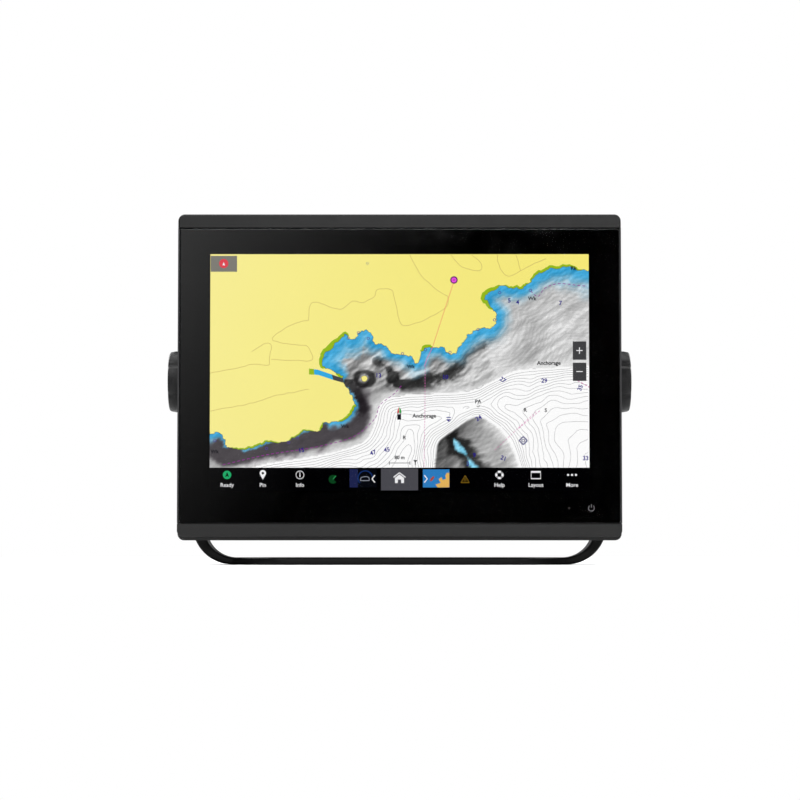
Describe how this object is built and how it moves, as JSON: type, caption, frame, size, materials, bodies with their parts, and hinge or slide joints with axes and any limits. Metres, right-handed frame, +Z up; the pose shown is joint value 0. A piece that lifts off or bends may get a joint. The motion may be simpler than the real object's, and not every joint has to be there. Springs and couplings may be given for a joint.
{
  "type": "chartplotter display",
  "caption": "Flat chartplotter display with a glass front and a lit chart, clamped by side knobs in a U-shaped bail bracket, with rear sockets and a card door.",
  "frame": {"origin": "centre of the bail foot's underside, on the surface it stands on", "axes": "+X to the right as seen by someone looking at the screen, +Y away from them to the back, +Z up"},
  "size_m": [0.3252, 0.077, 0.2416],
  "materials": {
    "case_plastic": "satin moulded, fine texture",
    "trim_plastic": "satin moulded",
    "knob_plastic": "matte moulded",
    "bail_plastic": "satin moulded, fine texture",
    "cover_glass": "clear, black ink border behind",
    "screen": "lit chart picture",
    "light_guide": "clear acrylic",
    "sheet_steel": "plated sheet",
    "alloy": "cast and milled",
    "black_alloy": "black anodised casting",
    "screw_steel": "stainless",
    "brass": "turned",
    "circuit_board": "solder-masked laminate",
    "thermal_pad": "soft matte",
    "antenna_ceramic": "unglazed patch",
    "flex_film": "polyimide film",
    "socket_plastic": "satin moulded",
    "seal_rubber": "matte"
  },
  "bodies": {
    "bail": {"bail_bracket": "bail_plastic"},
    "door": {"card_door": "case_plastic", "door_seal": "seal_rubber"},
    "left_clamp": {"left_knob_washer": "screw_steel"},
    "left_knob": {"left_knob": "knob_plastic", "left_stud": "screw_steel"},
    "right_clamp": {"right_knob_washer": "screw_steel"},
    "right_knob": {"right_knob": "knob_plastic", "right_stud": "screw_steel"},
    "display": {"alarm_buzzer": "socket_plastic", "backlight_tray": "sheet_steel", "board_screw_1": "screw_steel", "board_screw_2": "screw_steel", "board_screw_3": "screw_steel", "board_screw_4": "screw_steel", "bottom_trim": "trim_plastic", "card_reader": "socket_plastic", "case_screw_1": "screw_steel", "case_screw_2": "screw_steel", "case_screw_3": "screw_steel", "case_screw_4": "screw_steel", "case_screw_5": "screw_steel", "case_screw_6": "screw_steel", "case_screw_7": "screw_steel", "case_screw_8": "screw_steel", "chassis_plate": "alloy", "chassis_screw_1": "screw_steel", "chassis_screw_2": "screw_steel", "chassis_screw_3": "screw_steel", "chassis_screw_4": "screw_steel", "cover_glass": "cover_glass", "data_bus_socket": "socket_plastic", "display_ribbon": "flex_film", "door_pin": "screw_steel", "front_frame": "case_plastic", "glass_gasket": "seal_rubber", "gps_antenna": "antenna_ceramic", "heat_sink": "black_alloy", "lcd_panel": "screen", "led_strip": "light_guide", "left_insert": "brass", "left_pivot_pad": "seal_rubber", "light_guide": "light_guide", "main_board": "circuit_board", "main_seal": "seal_rubber", "network_socket": "socket_plastic", "power_socket": "socket_plastic", "processor_shield": "sheet_steel", "rear_cover": "case_plastic", "right_insert": "brass", "right_pivot_pad": "seal_rubber", "sonar_socket": "socket_plastic", "thermal_pad": "thermal_pad", "top_trim": "trim_plastic", "touch_key_board": "circuit_board", "touch_sensor": "cover_glass", "video_socket": "socket_plastic"}
  },
  "joints": [
    {"name": "tilt", "type": "hinge", "parent": "bail", "child": "display", "pos_m": [0, 0, 0.1282], "axis": [1, 0, 0], "range_deg": [-45, 8]},
    {"name": "card_door_swing", "type": "hinge", "parent": "display", "child": "door", "pos_m": [0.094, 0.0164, 0.1587], "axis": [-1, 0, 0], "range_deg": [0, 100]},
    {"name": "left_clamp_travel", "type": "slide", "parent": "display", "child": "left_clamp", "axis": [-1, 0, 0], "range_m": [0, 0.00375]},
    {"name": "left_knob_spin", "type": "hinge", "parent": "left_clamp", "child": "left_knob", "pos_m": [-0.15, 0, 0.1282], "axis": [-1, 0, 0], "range_deg": [0, 1080]},
    {"name": "right_clamp_travel", "type": "slide", "parent": "display", "child": "right_clamp", "axis": [1, 0, 0], "range_m": [0, 0.00375]},
    {"name": "right_knob_spin", "type": "hinge", "parent": "right_clamp", "child": "right_knob", "pos_m": [0.15, 0, 0.1282], "axis": [1, 0, 0], "range_deg": [0, 1080]}
  ],
  "couplings": [
    {"joint": "left_clamp_travel", "follows": "left_knob_spin", "m_per_rad": 0.00019894},
    {"joint": "right_clamp_travel", "follows": "right_knob_spin", "m_per_rad": 0.00019894}
  ]
}
